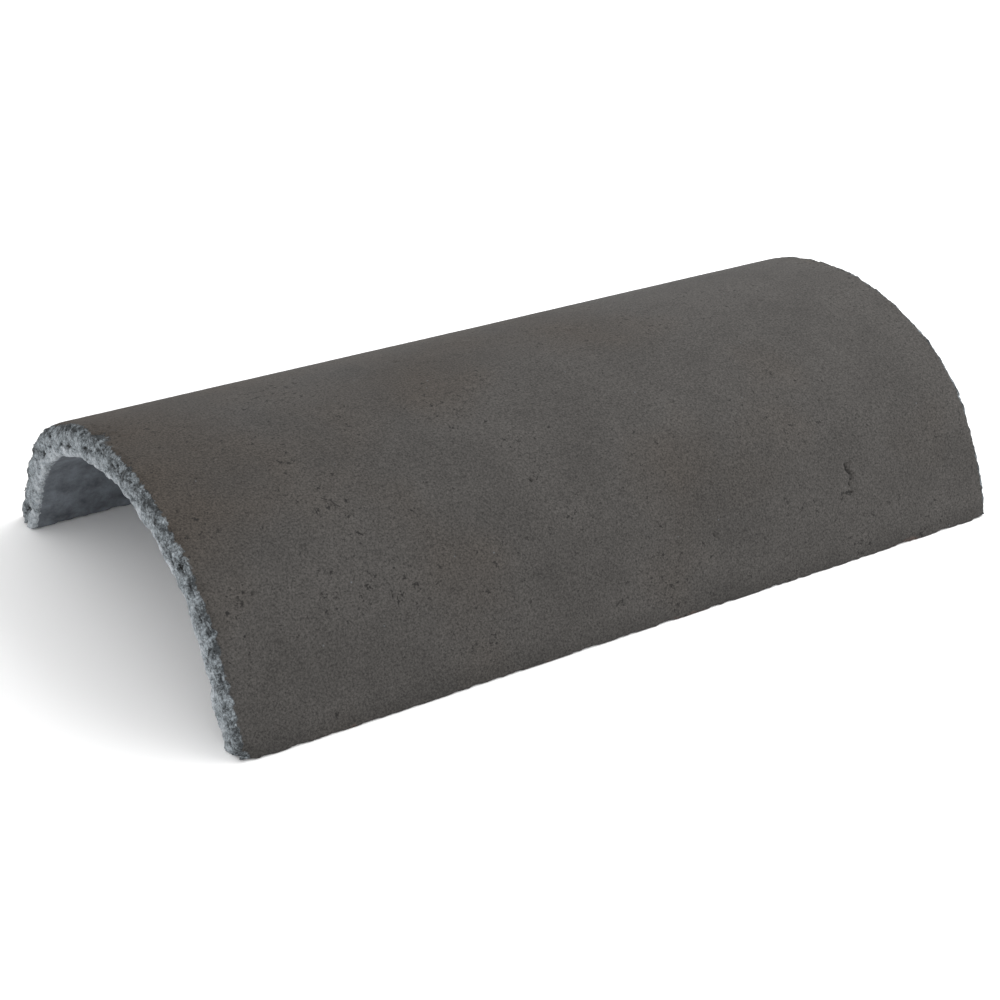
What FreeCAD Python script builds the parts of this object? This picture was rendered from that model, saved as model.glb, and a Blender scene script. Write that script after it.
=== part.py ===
"""Half round ridge tile in concrete: the arched cap that covers the ridge of a pitched roof.

The real tile is one extruded piece, so the model is one solid, "ridge_tile". Its section is a
three-centred arch of constant wall: a flat-topped crown arc, a tighter shoulder arc on each side,
and a short straight leg that splays out to a level foot. The section runs unchanged from end to
end. The long edges of the feet and the arrises of both ends are slightly rounded.

Frame, in millimetres: X runs along the ridge line, Y across it and Z up. The origin is on the
level plane of the feet, in the middle of the tile, so the tile stands on Z = 0 as it does on a roof.
"""

import math
import os

import FreeCAD
import Part

# Overall sizes
LENGTH = 450.0  # along the ridge, the length that concrete ridge tiles are sold in
WIDTH = 257.0  # across the feet outside, to their corners before these are rounded
HEIGHT = 96.0  # from the feet to the top of the crown
WALL = 16.5  # square to the surface, the same all round

# Shape of the arch, on its outside
CROWN_HALF_ANGLE = math.radians(26.0)  # the crown arc ends this far from the top
LEG_SLOPE = math.radians(65.0)  # the leg's angle to the level, where the shoulder arc ends
LEG_LENGTH = 36.0  # straight part of the outside, down to the foot

# Rounded edges
FOOT_OUTER_RADIUS = 2.5
FOOT_INNER_RADIUS = 2.0
END_ARRIS_RADIUS = 1.5  # around both faces of each cut end

TOLERANCE = 1e-6


def arch_radii():
    """Crown and shoulder radii of the outside that give the tile its width and height.

    Going out and down from the top, each arc adds its radius times the change in sine and in
    cosine. That makes two linear equations in the two radii.
    """
    across = WIDTH / 2 - LEG_LENGTH * math.cos(LEG_SLOPE)
    down = HEIGHT - LEG_LENGTH * math.sin(LEG_SLOPE)
    crown_across = math.sin(CROWN_HALF_ANGLE)
    crown_down = 1 - math.cos(CROWN_HALF_ANGLE)
    shoulder_across = math.sin(LEG_SLOPE) - math.sin(CROWN_HALF_ANGLE)
    shoulder_down = math.cos(CROWN_HALF_ANGLE) - math.cos(LEG_SLOPE)
    determinant = crown_across * shoulder_down - shoulder_across * crown_down
    crown = (across * shoulder_down - down * shoulder_across) / determinant
    shoulder = (down * crown_across - across * crown_down) / determinant
    return crown, shoulder


def section_point(y, z):
    """A point of the section, in the plane of the tile's left end."""
    return FreeCAD.Vector(-LENGTH / 2, y, z)


def half_profile(depth):
    """Points down one side of the arch at a depth under its outside, from the crown to the foot.

    They are the top, the middle and end of the crown arc, the middle and end of the shoulder arc,
    and the foot, where the straight leg meets the level Z = 0.
    """
    crown_radius, shoulder_radius = arch_radii()
    crown_centre_z = HEIGHT - crown_radius
    between_centres = crown_radius - shoulder_radius
    shoulder_centre_y = between_centres * math.sin(CROWN_HALF_ANGLE)
    shoulder_centre_z = crown_centre_z + between_centres * math.cos(CROWN_HALF_ANGLE)

    def on_crown(angle):
        radius = crown_radius - depth
        return radius * math.sin(angle), crown_centre_z + radius * math.cos(angle)

    def on_shoulder(angle):
        radius = shoulder_radius - depth
        y = shoulder_centre_y + radius * math.sin(angle)
        z = shoulder_centre_z + radius * math.cos(angle)
        return y, z

    leg_top_y, leg_top_z = on_shoulder(LEG_SLOPE)
    foot_y = leg_top_y + leg_top_z / math.tan(LEG_SLOPE)
    return [
        on_crown(0.0),
        on_crown(CROWN_HALF_ANGLE / 2),
        on_crown(CROWN_HALF_ANGLE),
        on_shoulder((CROWN_HALF_ANGLE + LEG_SLOPE) / 2),
        (leg_top_y, leg_top_z),
        (foot_y, 0.0),
    ]


def profile_edges(depth):
    """Edges of the whole arch at a depth, from the front foot (Y < 0) over to the back foot."""
    _, crown_mid, crown_end, shoulder_mid, leg_top, foot = half_profile(depth)

    def back(point):
        return section_point(point[0], point[1])

    def front(point):
        return section_point(-point[0], point[1])

    top = section_point(0.0, HEIGHT - depth)
    return [
        Part.LineSegment(front(foot), front(leg_top)).toShape(),
        Part.Arc(front(leg_top), front(shoulder_mid), front(crown_end)).toShape(),
        Part.Arc(front(crown_end), top, back(crown_end)).toShape(),
        Part.Arc(back(crown_end), back(shoulder_mid), back(leg_top)).toShape(),
        Part.LineSegment(back(leg_top), back(foot)).toShape(),
    ]


def section_face():
    """The tile's section: the outside and the inside of the arch, joined by the two level feet."""
    outside = profile_edges(0.0)
    inside = profile_edges(WALL)
    outer_foot = half_profile(0.0)[-1][0]
    inner_foot = half_profile(WALL)[-1][0]
    feet = [
        Part.LineSegment(section_point(side * outer_foot, 0), section_point(side * inner_foot, 0)).toShape()
        for side in (-1, 1)
    ]
    edges = Part.sortEdges(outside + inside + feet)[0]
    return Part.Face(Part.Wire(edges))


def foot_edges(solid, foot_y):
    """The two long edges of the feet that lie at a distance foot_y from the middle."""
    return [
        edge
        for edge in solid.Edges
        if edge.BoundBox.ZMax < TOLERANCE
        and edge.BoundBox.XLength > LENGTH / 2
        and abs(abs(edge.CenterOfMass.y) - foot_y) < TOLERANCE
    ]


def end_edges(solid):
    """Every edge of the two end faces."""
    return [
        edge
        for edge in solid.Edges
        if edge.BoundBox.XLength < TOLERANCE and abs(abs(edge.CenterOfMass.x) - LENGTH / 2) < TOLERANCE
    ]


def ridge_tile():
    """The tile as one solid, with its feet and ends rounded."""
    solid = section_face().extrude(FreeCAD.Vector(LENGTH, 0, 0))
    outer_foot = half_profile(0.0)[-1][0]
    inner_foot = half_profile(WALL)[-1][0]
    solid = solid.makeFillet(FOOT_OUTER_RADIUS, foot_edges(solid, outer_foot))
    solid = solid.makeFillet(FOOT_INNER_RADIUS, foot_edges(solid, inner_foot))
    return solid.makeFillet(END_ARRIS_RADIUS, end_edges(solid))


def main():
    os.makedirs("parts", exist_ok=True)
    tile = ridge_tile()
    tile.exportStep("parts/ridge_tile.step")
    crown, shoulder = arch_radii()
    print(f"crown radius {crown:.2f} mm, shoulder radius {shoulder:.2f} mm")
    print(f"valid {tile.isValid()}, solids {len(tile.Solids)}, volume {tile.Volume / 1e6:.4f} litres")
    print(f"box {tile.BoundBox}")


main()
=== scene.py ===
"""Half round ridge tile: an extruded concrete tile, built round its CAD frame.

The tile is swept from its wall: an edge as long as the wall is thick is spun round the arch's
centres, pulled down into the legs, cut level at the feet and pulled along the ridge. Then its ends
are broken, its arrises worn and its surface pitted. X runs along the ridge, Y across it, Z up, and
the tile stands on Z = 0. All sizes are in metres unless a name ends in MM.
"""

import math
import random

import bmesh
import bpy
import numpy as np
from bpy.props import FloatProperty, FloatVectorProperty, PointerProperty
from mathutils import Matrix, Vector, noise


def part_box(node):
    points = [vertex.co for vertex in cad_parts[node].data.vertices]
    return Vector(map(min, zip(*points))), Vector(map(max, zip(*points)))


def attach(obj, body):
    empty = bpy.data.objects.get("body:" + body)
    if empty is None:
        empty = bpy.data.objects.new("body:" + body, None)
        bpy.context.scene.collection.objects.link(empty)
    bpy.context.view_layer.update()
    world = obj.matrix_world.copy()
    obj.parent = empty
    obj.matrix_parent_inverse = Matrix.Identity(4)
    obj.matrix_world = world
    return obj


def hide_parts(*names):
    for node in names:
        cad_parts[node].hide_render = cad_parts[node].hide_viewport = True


bl_info = {
    "name": "Ridge Tile",
    "version": (1, 0, 0),
    "blender": (4, 5, 0),
    "location": "View3D > Sidebar > Ridge Tile",
    "description": "Builds a worn concrete ridge tile and the stage it stands on",
    "category": "Add Mesh",
}

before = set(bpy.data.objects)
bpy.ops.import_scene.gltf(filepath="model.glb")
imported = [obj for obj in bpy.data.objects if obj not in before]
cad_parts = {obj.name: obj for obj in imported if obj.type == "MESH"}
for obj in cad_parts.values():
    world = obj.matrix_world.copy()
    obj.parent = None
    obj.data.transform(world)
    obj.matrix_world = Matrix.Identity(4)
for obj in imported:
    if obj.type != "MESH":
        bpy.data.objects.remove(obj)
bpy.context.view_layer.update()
TILE_LOW, TILE_HIGH = (Vector(corner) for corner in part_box("ridge_tile"))
TILE_LENGTH = TILE_HIGH.x - TILE_LOW.x

MM = 0.001

# How finely the tile is divided before it is broken and worn
WALL_STEPS = 24
SHOULDER_STEPS = 86
CROWN_STEPS = 172
LEG_STEPS = 44
END_BAND = 16 * MM  # finer rows at each end, where the tile is broken
END_BAND_STEPS = 22
MIDDLE_STEPS = (96, 3)  # first into so many rows, then each row again
MOST_TRIANGLES = 190_000

# Size of what is put on the surface
WAVE_SIZE = 110 * MM
BREAK_SIZE = 14 * MM
CRUMB_SIZE = 4.0 * MM
GRIT_SIZE = 1.5 * MM
SKIN_GRAIN_SIZE = 2.4 * MM
DEEPEST_PIT = 3.4 * MM
DEEPEST_CHIP = 3.4 * MM

# Where the wear lies, and how much of it there is
LEFT_MARGIN = 6.0 * MM  # how far the broken surface reaches in from each end
RIGHT_MARGIN = 2.5 * MM
FOOT_BAND = 14 * MM  # how far up the foot's dull, stained band reaches
SKIN_DEPTH = 1.0 * MM  # what lies no deeper than this is the outer skin
END_DEPTH = 1.0 * MM  # what lies no further in than this is the cut end
SKIN_PITS = 240
END_PITS = 90  # in each cut end
RIGHT_END_WEAR = 0.1  # share of the left end's chips
RIGHT_END_ROUNDING = 0.45  # share of the left end's rounding

SEED = 7


def srgb(code):
    """Linear red, green and blue of an sRGB hex colour."""
    values = [int(code[i:i + 2], 16) / 255 for i in (1, 3, 5)]
    return tuple(v / 12.92 if v <= 0.04045 else ((v + 0.055) / 1.055) ** 2.4 for v in values)


# ---- what a user can change ----------------------------------------------------------------------

def length(name, description, default):
    return FloatProperty(name=name, description=description, default=default, min=0.0, unit="LENGTH")


def angle(name, description, degrees):
    return FloatProperty(name=name, description=description, default=math.radians(degrees), unit="ROTATION")


def colour(name, description, code):
    return FloatVectorProperty(
        name=name, description=description, default=srgb(code), subtype="COLOR", size=3, min=0.0, max=1.0
    )


class RidgeTileSizes(bpy.types.PropertyGroup):
    """Sizes of the arch and of its wear"""

    wall: length("Wall", "Thickness of the concrete, square to its surface", 16.5 * MM)
    crown_half_angle: angle("Crown half angle", "How far from the top the crown arc ends", 26.0)
    leg_slope: angle("Leg slope", "The straight leg's angle to the level", 65.0)
    leg_length: length("Leg length", "Straight part of the outside, down to the foot", 36.0 * MM)
    corner_wear: length("Corner wear", "How far the wear reaches from a foot's corners", 11.0 * MM)
    foot_rounding: length("Foot rounding", "Radius of the foot's outer edge", 2.5 * MM)
    arris_wear: length("Arris wear", "How far the wear reaches from an arris", 2.0 * MM)
    end_break: length("End break", "Depth of the broken surface of the cut ends", 2.6 * MM)
    wave: length("Wave", "How far the surface waves in and out", 0.7 * MM)


class RidgeTileColours(bpy.types.PropertyGroup):
    """Colours of the concrete"""

    skin: colour("Skin", "Trowelled, pigmented outside", "#3F3D3B")
    skin_warm: colour("Warm skin", "Brown clouds in the outside", "#362F28")
    underside: colour("Underside", "Bluish grey inside of the arch", "#666B71")
    raw: colour("Raw concrete", "Broken concrete of the cut ends", "#72787C")
    bloom: colour("Bloom", "White lime on the broken concrete", "#BCC1C6")
    # Near-black dirt and painted shade, for the bottoms of the pits and the skin's pores
    dirt_and_shade: colour("Dirt", "Dark bottoms of the pits", "#141312")
    rust: colour("Rust", "Red brown stain by the feet", "#6B4A3B")
    floor: colour("Floor", "Pale floor of the stage", "#F9F9F9")


# ---- the arch ------------------------------------------------------------------------------------

class Arch:
    """The three-centred arch of the tile's section, from the frame's box and the section's sizes."""

    def __init__(self, sizes):
        self.wall = sizes.wall
        self.crown_angle = sizes.crown_half_angle
        self.slope = sizes.leg_slope
        self.leg_length = sizes.leg_length
        sharp_corner = sizes.foot_rounding * (1 / math.tan(self.slope / 2) - 1)
        across = TILE_HIGH.y + sharp_corner - self.leg_length * math.cos(self.slope)
        down = TILE_HIGH.z - self.leg_length * math.sin(self.slope)
        crown_across, crown_down = math.sin(self.crown_angle), 1 - math.cos(self.crown_angle)
        shoulder_across = math.sin(self.slope) - crown_across
        shoulder_down = math.cos(self.crown_angle) - math.cos(self.slope)
        determinant = crown_across * shoulder_down - shoulder_across * crown_down
        self.crown_radius = (across * shoulder_down - down * shoulder_across) / determinant
        self.shoulder_radius = (down * crown_across - across * crown_down) / determinant
        self.crown_z = TILE_HIGH.z - self.crown_radius
        between = self.crown_radius - self.shoulder_radius
        self.shoulder_y = between * math.sin(self.crown_angle)
        self.shoulder_z = self.crown_z + between * math.cos(self.crown_angle)

    def leg_top(self, side):
        """Where the straight leg meets the shoulder on the outside; side is -1 in front, 1 behind."""
        y = self.shoulder_y + self.shoulder_radius * math.sin(self.slope)
        z = self.shoulder_z + self.shoulder_radius * math.cos(self.slope)
        return Vector((TILE_LOW.x, side * y, z))

    def outward(self, side):
        """Direction square to the leg's outside."""
        return Vector((0.0, side * math.sin(self.slope), math.cos(self.slope)))

    def down_leg(self, side):
        """Direction down the leg."""
        return Vector((0.0, side * math.cos(self.slope), -math.sin(self.slope)))

    def unroll(self, y, z):
        """Arrays of (distance round the outside from the top, depth under the outside) of points."""
        side = np.where(y < 0, -1.0, 1.0)
        y = np.abs(y)
        crown_turn = np.arctan2(y, z - self.crown_z)
        shoulder_turn = np.arctan2(y - self.shoulder_y, z - self.shoulder_z)
        on_crown = crown_turn < self.crown_angle
        on_shoulder = ~on_crown & (shoulder_turn < self.slope)
        crown_length = self.crown_radius * self.crown_angle
        shoulder_length = self.shoulder_radius * (self.slope - self.crown_angle)
        top = self.leg_top(1)
        leg_along = (y - top.y) * math.cos(self.slope) - (z - top.z) * math.sin(self.slope)
        leg_depth = -(y - top.y) * math.sin(self.slope) - (z - top.z) * math.cos(self.slope)
        around = np.where(
            on_crown, self.crown_radius * crown_turn,
            np.where(
                on_shoulder, crown_length + self.shoulder_radius * (shoulder_turn - self.crown_angle),
                crown_length + shoulder_length + leg_along,
            ),
        )
        depth = np.where(
            on_crown, self.crown_radius - np.hypot(y, z - self.crown_z),
            np.where(
                on_shoulder, self.shoulder_radius - np.hypot(y - self.shoulder_y, z - self.shoulder_z),
                leg_depth,
            ),
        )
        return side * around, depth


# ---- modelling by hand ---------------------------------------------------------------------------

def select_edges(obj, test):
    """In edit mode, selects only the edges whose two ends pass a test."""
    bpy.ops.mesh.select_mode(type="EDGE")
    bpy.ops.mesh.select_all(action="DESELECT")
    mesh = bmesh.from_edit_mesh(obj.data)
    for edge in mesh.edges:
        if test(edge.verts[0].co, edge.verts[1].co):
            edge.select_set(True)
    bmesh.update_edit_mesh(obj.data)


def pull(vector):
    """Extrudes what is selected."""
    bpy.ops.mesh.extrude_region_move(TRANSFORM_OT_translate={"value": vector})


def turn_over(angle_turned, steps, centre_y, centre_z):
    """Spins what is selected from the front over towards the back, about a line along the ridge."""
    bpy.ops.mesh.spin(
        steps=steps, angle=angle_turned, center=(TILE_LOW.x, centre_y, centre_z), axis=(1.0, 0.0, 0.0)
    )


def section_strip(arch):
    """The tile's section as a strip of faces in the plane of its left end, in edit mode."""
    bpy.ops.object.select_all(action="DESELECT")
    bpy.ops.mesh.primitive_plane_add(size=arch.wall, location=(0.0, 0.0, 0.0))
    tile = bpy.context.object
    tile.name = tile.data.name = "concrete_tile"
    bpy.ops.object.mode_set(mode="EDIT")
    bpy.ops.mesh.merge(type="CENTER")
    bpy.ops.transform.translate(value=arch.leg_top(-1))
    pull(-arch.wall * arch.outward(-1))
    bpy.ops.mesh.select_all(action="SELECT")
    bpy.ops.mesh.subdivide(number_cuts=WALL_STEPS - 1)
    shoulder_turn = arch.slope - arch.crown_angle
    turn_over(shoulder_turn, SHOULDER_STEPS, -arch.shoulder_y, arch.shoulder_z)
    turn_over(2 * arch.crown_angle, CROWN_STEPS, 0.0, arch.crown_z)
    turn_over(shoulder_turn, SHOULDER_STEPS, arch.shoulder_y, arch.shoulder_z)
    return tile


def add_legs(tile, arch):
    """Pulls both legs down past the floor, cuts them level and divides them."""
    near = 0.01 * MM
    for side in (-1, 1):
        top, outward = arch.leg_top(side), arch.outward(side)
        along = arch.down_leg(side)

        def on_leg_top(a, b):
            return abs((a - top).dot(along)) < near and abs((b - top).dot(along)) < near and a.y * side > 0

        select_edges(tile, on_leg_top)
        pull((arch.leg_length + arch.wall) * along)
    bpy.ops.mesh.select_all(action="SELECT")
    bpy.ops.mesh.bisect(plane_co=(0.0, 0.0, 0.0), plane_no=(0.0, 0.0, 1.0), clear_inner=True)
    select_edges(tile, lambda a, b: min(a.z, b.z) < near and abs(a.z - b.z) > arch.leg_length / 2)
    bpy.ops.mesh.subdivide(number_cuts=LEG_STEPS - 1)


def pull_along_ridge(tile):
    """Pulls the section into the whole tile, with finer rows in a band at each end."""
    middle = TILE_LENGTH - 2 * END_BAND
    bpy.ops.mesh.select_all(action="SELECT")
    for stretch in (END_BAND, middle, END_BAND):
        pull(Vector((stretch, 0.0, 0.0)))
    select_edges(tile, lambda a, b: abs(a.x - b.x) > middle / 2)
    bpy.ops.mesh.subdivide(number_cuts=MIDDLE_STEPS[0] - 1)
    row = middle / MIDDLE_STEPS[0]
    select_edges(tile, lambda a, b: row / 2 < abs(a.x - b.x) < row * 1.5)
    bpy.ops.mesh.subdivide(number_cuts=MIDDLE_STEPS[1] - 1)
    select_edges(tile, lambda a, b: abs(a.x - b.x) > END_BAND / 2)
    bpy.ops.mesh.subdivide(number_cuts=END_BAND_STEPS - 1)
    bpy.ops.mesh.select_all(action="SELECT")
    bpy.ops.mesh.normals_make_consistent(inside=False)
    bpy.ops.object.mode_set(mode="OBJECT")


# ---- wear ----------------------------------------------------------------------------------------

def fade(distance, reach):
    """1 at no distance, falling smoothly to 0 at the reach."""
    nearness = np.clip(1 - distance / reach, 0.0, 1.0)
    return nearness * nearness * (3 - 2 * nearness)


def lumpy(points, size, offset=0.0):
    """Smooth noise from -1 to 1 at each point, with lumps of a size."""
    shift = Vector((offset, 1.7 * offset, -2.3 * offset))
    return np.array([noise.noise(Vector(point) / size + shift) for point in points])


def half_girth(around):
    """Distance from the top of the arch round to a foot."""
    return float(np.abs(around).max())


def surface_places(tile, arch):
    """Points of the mesh, and each one's distance from its end, way round and depth in the wall."""
    points = np.empty(len(tile.data.vertices) * 3)
    tile.data.vertices.foreach_get("co", points)
    points = points.reshape(-1, 3)
    from_end = TILE_LENGTH / 2 - np.abs(points[:, 0])
    around, depth = arch.unroll(points[:, 1], points[:, 2])
    return points, from_end, around, depth


# The larger holes in the outer skin, listed one by one. Their places are a share of the tile's length from
# the middle and a share of the way from the top round to a foot; radius and depth are in mm.
SKIN_HOLES = (
    (-0.1, -0.5, 2.2, 1.6),
    (-0.3, -0.7, 1.8, 1.2),
    (0.3, -0.5, 1.8, 1.2),
    (0.1, -0.8, 1.6, 1.1),
)

# One crack that runs down the skin above the front foot
CRACK_ALONG = 0.3  # share of the length from the middle
CRACK_AROUND = -0.75  # share of the way round from the top to the front foot
CRACK_LENGTH = 17 * MM
CRACK_REACH = 2.2 * MM  # half its width, where it is widest
CRACK_WANDER = 3.5 * MM


def skin_pits(points, around, depth):
    """How deep each point of the outside lies in a pit, from 0 to 1."""
    chance = random.Random(SEED)
    half_round = half_girth(around)
    holes = list(SKIN_HOLES)
    for _ in range(SKIN_PITS):
        along, way_round = chance.uniform(-0.5, 0.5), chance.uniform(-1.0, 1.0)
        radius, deep = chance.uniform(0.9, 1.7), chance.uniform(0.2, 0.9)
        holes.append((along, way_round, radius, deep))
    pit = np.zeros(len(points))
    outside = depth < SKIN_DEPTH
    uneven = np.ones(len(points))
    uneven[outside] += 0.8 * lumpy(points[outside], 2.1 * MM)
    for along, way_round, radius, deep in holes:
        distance = np.hypot(points[:, 0] - along * TILE_LENGTH, around - way_round * half_round) * uneven
        near = outside & (distance < radius * MM)
        pit[near] = np.maximum(pit[near], fade(distance[near], radius * MM) * deep * MM / DEEPEST_PIT)
    return pit


def crack(points, around, depth):
    """How deep each point of the outside lies in the crack, from 0 to 1."""
    half_round = half_girth(around)
    pit = np.zeros(len(points))
    along_crack = np.abs(around - CRACK_AROUND * half_round) / (CRACK_LENGTH / 2)
    near = np.flatnonzero((along_crack < 1) & (depth < SKIN_DEPTH) & (points[:, 0] > 0))
    down = np.column_stack((around[near], np.zeros(len(near)), np.zeros(len(near))))
    middle = CRACK_ALONG * TILE_LENGTH + CRACK_WANDER * lumpy(down, 7 * MM)
    reach = CRACK_REACH * (1 - along_crack[near] ** 2) * (0.75 + 0.6 * lumpy(down, 3 * MM, 4.0))
    pit[near] = 0.5 * fade(np.abs(points[near, 0] - middle), np.maximum(reach, 0.1 * MM))
    return pit


def end_pits(points, from_end, around, depth, wall):
    """The holes between the stones in both cut ends, from 0 to 1."""
    chance = random.Random(SEED + 1)
    half_round = half_girth(around)
    pit = np.zeros(len(points))
    uneven = np.ones(len(points))
    cut = from_end < END_DEPTH
    uneven[cut] += 0.9 * lumpy(points[cut], 1.8 * MM) + 0.4 * lumpy(points[cut], 5 * MM)
    for end in (-1.0, 1.0):
        at_end = cut & (points[:, 0] * end > 0)
        for _ in range(END_PITS):
            way_round = chance.uniform(-1.0, 1.0) * half_round
            deep = chance.uniform(0.12, 0.8) * wall
            radius = chance.choice((0.9, 1.1, 1.4, 1.8, 2.4)) * MM
            stretch = chance.uniform(1.0, 3.4)
            strength = chance.uniform(0.25, 1.0)
            distance = np.hypot((around - way_round) / stretch, depth - deep) * uneven
            near = at_end & (distance < radius)
            pit[near] = np.maximum(pit[near], fade(distance[near], radius) * strength)
    return pit


# The larger bites out of the ends' outer arris, listed: (end, share of the way round from the top
# to a foot, reach in mm, amount)
ARRIS_BITES = (
    (-1, 0.1, 15, 0.75), (-1, -0.65, 9, 0.9), (-1, -0.8, 6, 0.7), (-1, 0.35, 8, 0.7), (1, 0.5, 9, 0.8),
)


def chipped_arris(points, from_end, around, depth, wall):
    """Where the outer and inner arrises of the cut ends have broken away, from 0 to 1."""
    chipped = np.zeros(len(points))
    for edge_depth, amount in ((0.0, 1.0), (wall, 0.55)):
        distance = np.hypot(from_end, depth - edge_depth)
        near = np.flatnonzero(distance < 7 * MM)
        which_end = np.sign(points[near, 0]) * 0.2
        places = np.column_stack((around[near], which_end, np.full(len(near), edge_depth)))
        breakage = np.clip(0.45 + 1.3 * lumpy(places, 13 * MM) + 0.7 * lumpy(places, 4 * MM, 5.0), 0.0, 1.0)
        reach = (2.0 + 4.5 * breakage) * MM
        calm = np.where(points[near, 0] > 0, RIGHT_END_WEAR, 1.0)
        amounts = amount * calm * (0.25 + 0.75 * breakage) * fade(distance[near], reach)
        chipped[near] = np.maximum(chipped[near], amounts)
    half_round = half_girth(around)
    for end, way_round, reach, amount in ARRIS_BITES:
        distance = np.hypot(np.hypot(from_end, depth), (around - way_round * half_round) / 1.4)
        near = np.flatnonzero((distance < 1.5 * reach * MM) & (points[:, 0] * end > 0))
        ragged = 1 + 0.4 * lumpy(points[near], 4 * MM)
        chipped[near] = np.maximum(chipped[near], amount * fade(distance[near] * ragged, reach * MM))
    return chipped


def chipped_feet(points, depth, wall):
    """Small bites out of the long edges of the feet, from 0 to 1."""
    chipped = np.zeros(len(points))
    for edge_depth in (0.0, wall):
        distance = np.hypot(points[:, 2], depth - edge_depth)
        near = np.flatnonzero(distance < 4 * MM)
        which_foot = np.sign(points[near, 1]) * 0.3
        places = np.column_stack((points[near, 0], which_foot, np.full(len(near), edge_depth)))
        bites = np.clip(0.1 + 1.1 * lumpy(places, 9 * MM) + 0.7 * lumpy(places, 3 * MM, 9.0), 0.0, 1.0)
        amounts = 0.3 * bites * fade(distance[near], (1.5 + 2.0 * bites) * MM)
        chipped[near] = np.maximum(chipped[near], amounts)
    return chipped


def add_mask(tile, name, weights):
    """Keeps a weight for each point as a vertex group, where a modifier can use it."""
    group = tile.vertex_groups.new(name=name)
    for index in np.flatnonzero(weights > 0.001):
        group.add([int(index)], float(weights[index]), "REPLACE")
    return group


def mark_surface(tile, arch, sizes):
    """Makes the masks of the tile's places and wear, by where each point lies."""
    points, from_end, around, depth = surface_places(tile, arch)
    feet = points[:, 2]
    worn_end = np.minimum(np.hypot(from_end, depth), np.hypot(from_end, depth - arch.wall))
    worn_foot = np.minimum(np.hypot(feet, depth), np.hypot(feet, depth - arch.wall))
    margin = np.where(points[:, 0] < 0, LEFT_MARGIN, RIGHT_MARGIN)
    add_mask(tile, "cut_end", fade(from_end, margin))
    add_mask(tile, "underside", np.clip(depth / arch.wall, 0.0, 1.0))
    corner = np.hypot(worn_foot, from_end)
    calm = np.where(points[:, 0] > 0, RIGHT_END_ROUNDING, 1.0)
    along_edges = calm * fade(np.minimum(worn_end, worn_foot), sizes.arris_wear)
    add_mask(tile, "arris", np.maximum(along_edges, fade(corner, sizes.corner_wear)))
    end_chips = chipped_arris(points, from_end, around, depth, arch.wall)
    foot_chips = chipped_feet(points, depth, arch.wall)
    corner_loss = calm * fade(np.hypot(np.hypot(feet, depth), from_end), sizes.corner_wear)
    add_mask(tile, "chipped", np.maximum(np.maximum(end_chips, foot_chips), corner_loss))
    add_mask(tile, "foot", fade(feet, FOOT_BAND))
    pits = skin_pits(points, around, depth) + crack(points, around, depth)
    pits += end_pits(points, from_end, around, depth, arch.wall)
    add_mask(tile, "pit", np.clip(pits, 0.0, 1.0))


def displace(tile, mask, strength, kind=None, size=None, mid_level=0.5):
    """Moves the surface in or out by a noise of a size, or evenly, as far as a mask allows."""
    modifier = tile.modifiers.new(f"displace_{mask or 'all'}", "DISPLACE")
    if kind:
        texture = bpy.data.textures.new(modifier.name, kind)
        texture.noise_scale = size
        if kind == "CLOUDS":
            texture.noise_depth = 3
        modifier.texture = texture
        modifier.texture_coords = "LOCAL"
    modifier.vertex_group = mask or ""
    modifier.strength = strength
    modifier.mid_level = mid_level
    bpy.ops.object.modifier_apply(modifier=modifier.name)


def wear(tile, sizes):
    """Breaks the ends, wears the arrises and opens the pits."""
    smooth = tile.modifiers.new("round_arrises", "SMOOTH")
    smooth.vertex_group = "arris"
    smooth.factor = 0.5
    smooth.iterations = 24
    bpy.ops.object.modifier_apply(modifier=smooth.name)
    displace(tile, None, sizes.wave, "CLOUDS", WAVE_SIZE)
    displace(tile, "chipped", -DEEPEST_CHIP, mid_level=0.0)
    displace(tile, "cut_end", 0.8 * sizes.end_break, "CLOUDS", BREAK_SIZE, 0.45)
    displace(tile, "cut_end", 0.36 * sizes.end_break, "CLOUDS", CRUMB_SIZE, 0.5)
    displace(tile, "cut_end", 0.3 * sizes.end_break, "CLOUDS", GRIT_SIZE, 0.5)
    displace(tile, None, 0.22 * MM, "CLOUDS", SKIN_GRAIN_SIZE)
    displace(tile, "pit", -DEEPEST_PIT, mid_level=0.0)


def level_feet(tile):
    """Presses flat whatever the wear has pushed below the floor."""
    bpy.ops.object.mode_set(mode="EDIT")
    bpy.ops.mesh.select_mode(type="VERT")
    bpy.ops.mesh.select_all(action="DESELECT")
    mesh = bmesh.from_edit_mesh(tile.data)
    for vertex in mesh.verts:
        if vertex.co.z < 0:
            vertex.select_set(True)
    bmesh.update_edit_mesh(tile.data)
    bpy.ops.transform.resize(value=(1.0, 1.0, 0.0), center_override=(0.0, 0.0, 0.0))
    bpy.ops.object.mode_set(mode="OBJECT")


def thin_mesh(tile):
    """Takes triangles from where the surface is smooth, and keeps them where it is rough."""
    bpy.ops.object.mode_set(mode="EDIT")
    bpy.ops.mesh.select_all(action="SELECT")
    bpy.ops.mesh.quads_convert_to_tris()
    bpy.ops.object.mode_set(mode="OBJECT")
    decimate = tile.modifiers.new("thin", "DECIMATE")
    decimate.ratio = min(1.0, MOST_TRIANGLES / len(tile.data.polygons))
    bpy.ops.object.modifier_apply(modifier=decimate.name)


def masks_to_attributes(tile):
    """Copies each mask to an attribute that the material can read."""
    mesh = tile.data
    names = {group.index: group.name for group in tile.vertex_groups}
    weights = {name: np.zeros(len(mesh.vertices), dtype=np.float32) for name in names.values()}
    for vertex in mesh.vertices:
        for member in vertex.groups:
            weights[names[member.group]][vertex.index] = member.weight
    tile.vertex_groups.clear()  # first, because an attribute can't share a group's name
    for name, values in weights.items():
        mesh.attributes.new(name, "FLOAT", "POINT").data.foreach_set("value", values)


# ---- material ------------------------------------------------------------------------------------

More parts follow.
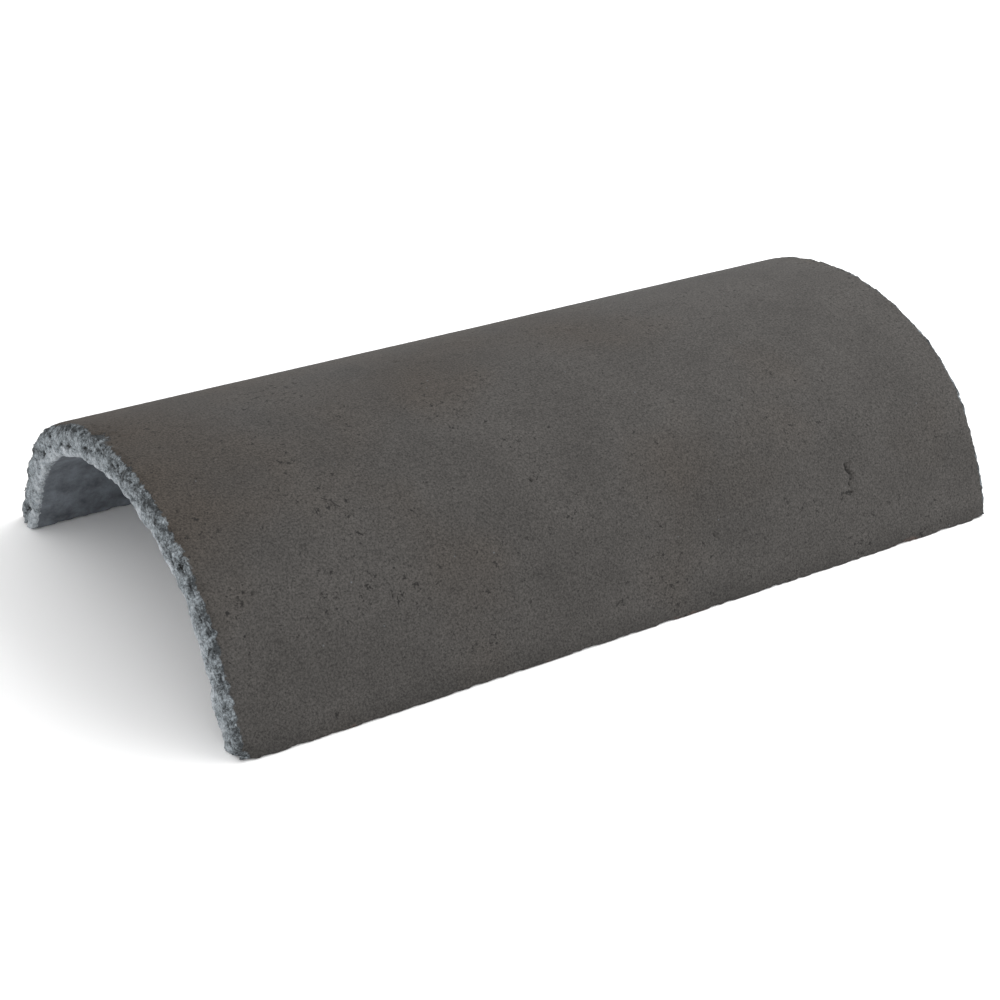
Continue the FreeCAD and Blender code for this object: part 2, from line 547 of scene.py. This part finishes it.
# Where Blender's Mix node keeps its colour sockets
FACTOR, COLOUR_A, COLOUR_B, COLOUR_OUT = 0, 6, 7, 2


def add(tree, kind, inputs=None, **settings):
    """Adds a node with its settings; an input is given a value, or the socket that is linked to it."""
    node = tree.nodes.new(kind)
    for name, value in settings.items():
        setattr(node, name, value)
    for key, value in (inputs or {}).items():
        if isinstance(value, bpy.types.NodeSocket):
            tree.links.new(value, node.inputs[key])
        else:
            node.inputs[key].default_value = value
    return node


def opaque(rgb):
    """A colour with full alpha, as a node's socket wants it."""
    return (*rgb, 1.0)


def mask(tree, name):
    """One of the tile's surface masks."""
    return add(tree, "ShaderNodeAttribute", attribute_name=name).outputs["Fac"]


# The skin is browner towards the left end and the back, by so much a metre
BROWNER_WAY = (-0.65, 1.0, 0.0)


def skin_colour(tree, place, colours):
    """Smooth dark skin: brown clouds, light and dark patches, fine sand, open pores with dirt and painted
    shade in them, and pale specks.
    """
    clouds = add(tree, "ShaderNodeTexNoise", {"Vector": place, "Scale": 1 / (140 * MM), "Detail": 3.0})
    lean = add(tree, "ShaderNodeVectorMath", {0: place, 1: BROWNER_WAY}, operation="DOT_PRODUCT")
    leaning = add(tree, "ShaderNodeMath",
                  {0: clouds.outputs["Fac"], 1: lean.outputs["Value"]}, operation="ADD")
    browned = add(tree, "ShaderNodeMapRange",
                  {"Value": leaning.outputs["Value"], "From Min": 0.44, "From Max": 0.72, "To Max": 0.9})
    ground = add(tree, "ShaderNodeMix",
                 {FACTOR: browned.outputs["Result"], COLOUR_A: opaque(colours.skin),
                  COLOUR_B: opaque(colours.skin_warm)}, data_type="RGBA")
    rusted = add(tree, "ShaderNodeTexNoise", {"Vector": place, "Scale": 1 / (30 * MM), "Detail": 5.0})
    by_foot = add(tree, "ShaderNodeMath",
                  {0: rusted.outputs["Fac"], 1: mask(tree, "foot")}, operation="MULTIPLY")
    rust = add(tree, "ShaderNodeMapRange",
               {"Value": by_foot.outputs["Value"], "From Min": 0.56, "From Max": 0.72, "To Max": 0.6})
    stained = add(tree, "ShaderNodeMix",
                  {FACTOR: rust.outputs["Result"], COLOUR_A: ground.outputs[COLOUR_OUT],
                   COLOUR_B: opaque(colours.rust)}, data_type="RGBA")
    foot_tone = add(tree, "ShaderNodeMapRange",
                    {"Value": mask(tree, "foot"), "From Min": 0.1, "To Min": 1.0, "To Max": 0.78})
    patches = add(tree, "ShaderNodeTexNoise",
                  {"Vector": place, "Scale": 1 / (34 * MM), "Detail": 6.0, "Roughness": 0.62})
    patch_tone = add(tree, "ShaderNodeMapRange",
                     {"Value": patches.outputs["Fac"], "From Min": 0.3, "From Max": 0.7,
                      "To Min": 0.84, "To Max": 1.16})
    sand = add(tree, "ShaderNodeTexNoise",
               {"Vector": place, "Scale": 1 / (1.0 * MM), "Detail": 3.0, "Roughness": 0.75})
    sand_tone = add(tree, "ShaderNodeMapRange",
                    {"Value": sand.outputs["Fac"], "From Min": 0.3, "From Max": 0.7,
                     "To Min": 0.4, "To Max": 1.6})
    tone = add(tree, "ShaderNodeMath",
               {0: patch_tone.outputs["Result"], 1: sand_tone.outputs["Result"]}, operation="MULTIPLY")
    foot_dulled = add(tree, "ShaderNodeMath",
                      {0: tone.outputs["Value"], 1: foot_tone.outputs["Result"]}, operation="MULTIPLY")
    toned = add(tree, "ShaderNodeVectorMath",
                {0: stained.outputs[COLOUR_OUT], "Scale": foot_dulled.outputs["Value"]}, operation="SCALE")

    # Open pores, darkened to the near-black colour: dirt and painted shade
    pores = add(tree, "ShaderNodeTexNoise",
                {"Vector": place, "Scale": 1 / (3.4 * MM), "Detail": 6.0, "Roughness": 0.75})
    pore_tone = add(tree, "ShaderNodeMath",
                    {0: patches.outputs["Fac"], 1: 0.35, 2: pores.outputs["Fac"]}, operation="MULTIPLY_ADD")
    pore_dirt_and_shade = add(tree, "ShaderNodeMapRange",
               {"Value": pore_tone.outputs["Value"], "From Min": 0.785, "From Max": 0.84, "To Max": 0.85})
    pored = add(tree, "ShaderNodeMix",
                {FACTOR: pore_dirt_and_shade.outputs["Result"], COLOUR_A: toned.outputs["Vector"],
                 COLOUR_B: opaque(colours.dirt_and_shade)}, data_type="RGBA")
    specks = add(tree, "ShaderNodeTexVoronoi", {"Vector": place, "Scale": 1 / (11 * MM)})
    speck = add(tree, "ShaderNodeMapRange",
                {"Value": specks.outputs["Distance"], "From Min": 0.025, "From Max": 0.045,
                 "To Min": 0.4, "To Max": 0.0})
    speckled = add(tree, "ShaderNodeMix",
                   {FACTOR: speck.outputs["Result"], COLOUR_A: pored.outputs[COLOUR_OUT],
                    COLOUR_B: opaque(colours.raw)}, data_type="RGBA")
    return speckled.outputs[COLOUR_OUT]


def underside_colour(tree, place, colours):
    """Cast underside: bluish grey with soft clouds."""
    clouds = add(tree, "ShaderNodeTexNoise",
                 {"Vector": place, "Scale": 1 / (15 * MM), "Detail": 8.0, "Roughness": 0.68})
    tone = add(tree, "ShaderNodeMapRange",
               {"Value": clouds.outputs["Fac"], "From Min": 0.3, "From Max": 0.7,
                "To Min": 0.4, "To Max": 1.6})
    toned = add(tree, "ShaderNodeVectorMath",
                {0: colours.underside, "Scale": tone.outputs["Result"]}, operation="SCALE")
    return toned.outputs["Vector"]


def raw_colour(tree, place, colours):
    """Broken concrete: pale and dark grit in grey paste, lime bloom on its inner side, dirt and painted
    shade at the top.
    """
    grit = add(tree, "ShaderNodeTexNoise",
               {"Vector": place, "Scale": 1 / (1.4 * MM), "Detail": 5.0, "Roughness": 0.8})
    grit_tone = add(tree, "ShaderNodeMapRange",
                    {"Value": grit.outputs["Fac"], "From Min": 0.34, "From Max": 0.66,
                     "To Min": 0.2, "To Max": 2.1})
    height = add(tree, "ShaderNodeSeparateXYZ", {"Vector": place})
    # Darker towards the top of the tile: dirt and painted shade on the crown of the cut ends
    top_dirt_and_shade = add(tree, "ShaderNodeMapRange",
                    {"Value": height.outputs["Z"], "From Min": 0.85 * TILE_HIGH.z, "From Max": TILE_HIGH.z,
                     "To Min": 1.0, "To Max": 0.75})
    grit_with_top_dirt_and_shade = add(tree, "ShaderNodeMath",
                         {0: grit_tone.outputs["Result"], 1: top_dirt_and_shade.outputs["Result"]},
                         operation="MULTIPLY")
    lime = add(tree, "ShaderNodeTexNoise",
               {"Vector": place, "Scale": 1 / (7 * MM), "Detail": 8.0, "Roughness": 0.82})
    inward = add(tree, "ShaderNodeMath",
                 {0: mask(tree, "underside"), 1: 0.2, 2: lime.outputs["Fac"]}, operation="MULTIPLY_ADD")
    crevice_tone = add(tree, "ShaderNodeMapRange",
                       {"Value": inward.outputs["Value"], "From Min": 0.47, "From Max": 0.59,
                        "To Min": 0.18, "To Max": 1.0})
    tone = add(tree, "ShaderNodeMath",
               {0: grit_with_top_dirt_and_shade.outputs["Value"], 1: crevice_tone.outputs["Result"]}, operation="MULTIPLY")
    toned = add(tree, "ShaderNodeVectorMath",
                {0: colours.raw, "Scale": tone.outputs["Value"]}, operation="SCALE")
    bloomed = add(tree, "ShaderNodeMapRange",
                  {"Value": inward.outputs["Value"], "From Min": 0.62, "From Max": 0.78, "To Max": 0.75})
    mixed = add(tree, "ShaderNodeMix",
                {FACTOR: bloomed.outputs["Result"], COLOUR_A: toned.outputs["Vector"],
                 COLOUR_B: opaque(colours.bloom)}, data_type="RGBA")
    return mixed.outputs[COLOUR_OUT]


def extruded_concrete(colours):
    """Roofing concrete, extruded and cut: a smooth pigmented skin, rough pale grit where it is cut.

    The eye gets a dull dark surface with no gloss, and a light sugary edge round both ends.
    """
    material = bpy.data.materials.new("extruded_concrete")
    material.use_nodes = True
    tree = material.node_tree
    tree.nodes.clear()
    place = add(tree, "ShaderNodeTexCoord").outputs["Object"]

    inside = add(tree, "ShaderNodeMapRange",
                 {"Value": mask(tree, "underside"), "From Min": 0.45, "From Max": 0.55})
    cast = add(tree, "ShaderNodeMix",
               {FACTOR: inside.outputs["Result"], COLOUR_A: skin_colour(tree, place, colours),
                COLOUR_B: underside_colour(tree, place, colours)}, data_type="RGBA")

    ragged = add(tree, "ShaderNodeTexNoise", {"Vector": place, "Scale": 1 / (3 * MM), "Detail": 3.0})
    broken = add(tree, "ShaderNodeMath",
                 {0: mask(tree, "cut_end"), 1: mask(tree, "chipped")}, operation="MAXIMUM")
    edge = add(tree, "ShaderNodeMath",
               {0: broken.outputs["Value"], 1: ragged.outputs["Fac"]}, operation="ADD")
    shown = add(tree, "ShaderNodeMapRange",
                {"Value": edge.outputs["Value"], "From Min": 0.84, "From Max": 1.0})
    surface = add(tree, "ShaderNodeMix",
                  {FACTOR: shown.outputs["Result"], COLOUR_A: cast.outputs[COLOUR_OUT],
                   COLOUR_B: raw_colour(tree, place, colours)}, data_type="RGBA")

    # Pits darkened to the near-black colour towards their bottoms: dirt and painted shade
    grain = add(tree, "ShaderNodeTexNoise", {"Vector": place, "Scale": 1 / (0.9 * MM), "Detail": 3.0})
    pit_edge = add(tree, "ShaderNodeMath",
                   {0: grain.outputs["Fac"], 1: 0.6, 2: mask(tree, "pit")}, operation="MULTIPLY_ADD")
    pitted = add(tree, "ShaderNodeMapRange",
                 {"Value": pit_edge.outputs["Value"], "From Min": 0.44, "From Max": 0.85, "To Max": 0.9})
    finished = add(tree, "ShaderNodeMix",
                   {FACTOR: pitted.outputs["Result"], COLOUR_A: surface.outputs[COLOUR_OUT],
                    COLOUR_B: opaque(colours.dirt_and_shade)}, data_type="RGBA")

    fine = add(tree, "ShaderNodeBump",
               {"Height": grain.outputs["Fac"], "Distance": 0.25 * MM, "Strength": 0.6})
    grit = add(tree, "ShaderNodeTexVoronoi", {"Vector": place, "Scale": 1 / (1.8 * MM)})
    grit_height = add(tree, "ShaderNodeMath",
                      {0: grit.outputs["Distance"], 1: shown.outputs["Result"]}, operation="MULTIPLY")
    coarse = add(tree, "ShaderNodeBump",
                 {"Height": grit_height.outputs["Value"], "Distance": 0.8 * MM, "Strength": 0.8,
                  "Normal": fine.outputs["Normal"]}, invert=True)
    shader = add(tree, "ShaderNodeBsdfPrincipled",
                 {"Base Color": finished.outputs[COLOUR_OUT], "Roughness": 0.92, "IOR": 1.5,
                  "Specular IOR Level": 0.3, "Normal": coarse.outputs["Normal"]})
    add(tree, "ShaderNodeOutputMaterial", {"Surface": shader.outputs["BSDF"]})
    return material


def plain_material(name, rgb, roughness):
    """An even surface for the stage."""
    material = bpy.data.materials.new(name)
    material.use_nodes = True
    shader = material.node_tree.nodes["Principled BSDF"]
    shader.inputs["Base Color"].default_value = opaque(rgb)
    shader.inputs["Roughness"].default_value = roughness
    return material


# ---- operators -----------------------------------------------------------------------------------

class RIDGETILE_OT_make_tile(bpy.types.Operator):
    """Build the concrete tile with its broken ends, worn arrises and pits"""

    bl_idname = "ridge_tile.make_tile"
    bl_label = "Make Tile"

    def execute(self, context):
        settings = context.scene
        arch = Arch(settings.ridge_tile_sizes)
        tile = section_strip(arch)
        add_legs(tile, arch)
        pull_along_ridge(tile)
        mark_surface(tile, arch, settings.ridge_tile_sizes)
        wear(tile, settings.ridge_tile_sizes)
        level_feet(tile)
        thin_mesh(tile)
        masks_to_attributes(tile)
        bpy.ops.object.shade_smooth()
        tile.data.materials.append(extruded_concrete(settings.ridge_tile_colours))
        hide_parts("ridge_tile")
        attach(tile, "root")
        return {"FINISHED"}


# Stage
FLOOR_SIZE = 30.0
CAMERA_TARGET = Vector((-0.0075, 0.0, 0.0118))
CAMERA_AZIMUTH = math.radians(-34.16)
CAMERA_ELEVATION = math.radians(28.5)
CAMERA_DISTANCE = 1.070
CAMERA_ROLL = math.radians(2.17)
CAMERA_LENS = 72.93  # mm on a 36 mm sensor
SKY_STRENGTH = 1.0
LIGHTS = (
    # name, direction from the tile, distance, size, watts
    ("key", Vector((0.95, -0.2, 1.1)), 1.15, 1.2, 12.5),
    ("fill", Vector((-1.0, -0.5, 0.32)), 2.4, 2.2, 13.0),
)


class RIDGETILE_OT_set_stage(bpy.types.Operator):
    """Put the tile on a pale floor, in soft light, in front of a camera"""

    bl_idname = "ridge_tile.set_stage"
    bl_label = "Set Stage"

    def execute(self, context):
        scene = context.scene
        bpy.ops.object.select_all(action="DESELECT")
        bpy.ops.mesh.primitive_plane_add(size=FLOOR_SIZE, location=(0.0, 0.0, 0.0))
        floor = context.object
        floor.name = "floor"
        floor.data.materials.append(plain_material("pale_floor", scene.ridge_tile_colours.floor, 0.9))

        for name, direction, distance, size, watts in LIGHTS:
            bpy.ops.object.light_add(type="AREA", location=direction.normalized() * distance)
            light = context.object
            light.name = f"{name}_light"
            light.rotation_euler = direction.to_track_quat("Z", "Y").to_euler()
            light.data.size = size
            light.data.energy = watts

        world = bpy.data.worlds.new("studio")
        world.use_nodes = True
        background = world.node_tree.nodes["Background"]
        background.inputs["Color"].default_value = opaque(srgb("#FFFFFF"))
        background.inputs["Strength"].default_value = SKY_STRENGTH
        scene.world = world
        scene.view_settings.view_transform = "Standard"

        back = Vector((
            math.sin(CAMERA_AZIMUTH) * math.cos(CAMERA_ELEVATION),
            -math.cos(CAMERA_AZIMUTH) * math.cos(CAMERA_ELEVATION),
            math.sin(CAMERA_ELEVATION),
        ))
        bpy.ops.object.camera_add(location=CAMERA_TARGET + back * CAMERA_DISTANCE)
        camera = context.object
        upright = back.to_track_quat("Z", "Y").to_matrix()
        camera.rotation_euler = (upright @ Matrix.Rotation(CAMERA_ROLL, 3, "Z")).to_euler()
        camera.data.lens = CAMERA_LENS
        scene.camera = camera
        return {"FINISHED"}


class RIDGETILE_PT_sidebar(bpy.types.Panel):
    """The tile's sizes, colours and steps"""

    bl_label = "Ridge Tile"
    bl_idname = "RIDGETILE_PT_sidebar"
    bl_space_type = "VIEW_3D"
    bl_region_type = "UI"
    bl_category = "Ridge Tile"

    def draw(self, context):
        for group in (context.scene.ridge_tile_sizes, context.scene.ridge_tile_colours):
            column = self.layout.column(align=True)
            for name in group.__annotations__:
                column.prop(group, name)
        for step in STEPS:
            self.layout.operator(step.bl_idname)


STEPS = (RIDGETILE_OT_make_tile, RIDGETILE_OT_set_stage)
CLASSES = (RidgeTileSizes, RidgeTileColours, *STEPS, RIDGETILE_PT_sidebar)


def register():
    for cls in CLASSES:
        bpy.utils.register_class(cls)
    bpy.types.Scene.ridge_tile_sizes = PointerProperty(type=RidgeTileSizes)
    bpy.types.Scene.ridge_tile_colours = PointerProperty(type=RidgeTileColours)


def unregister():
    del bpy.types.Scene.ridge_tile_colours
    del bpy.types.Scene.ridge_tile_sizes
    for cls in reversed(CLASSES):
        bpy.utils.unregister_class(cls)


def main():
    register()
    bpy.ops.ridge_tile.make_tile()
    bpy.ops.ridge_tile.set_stage()


if __name__ == "__main__":
    main()
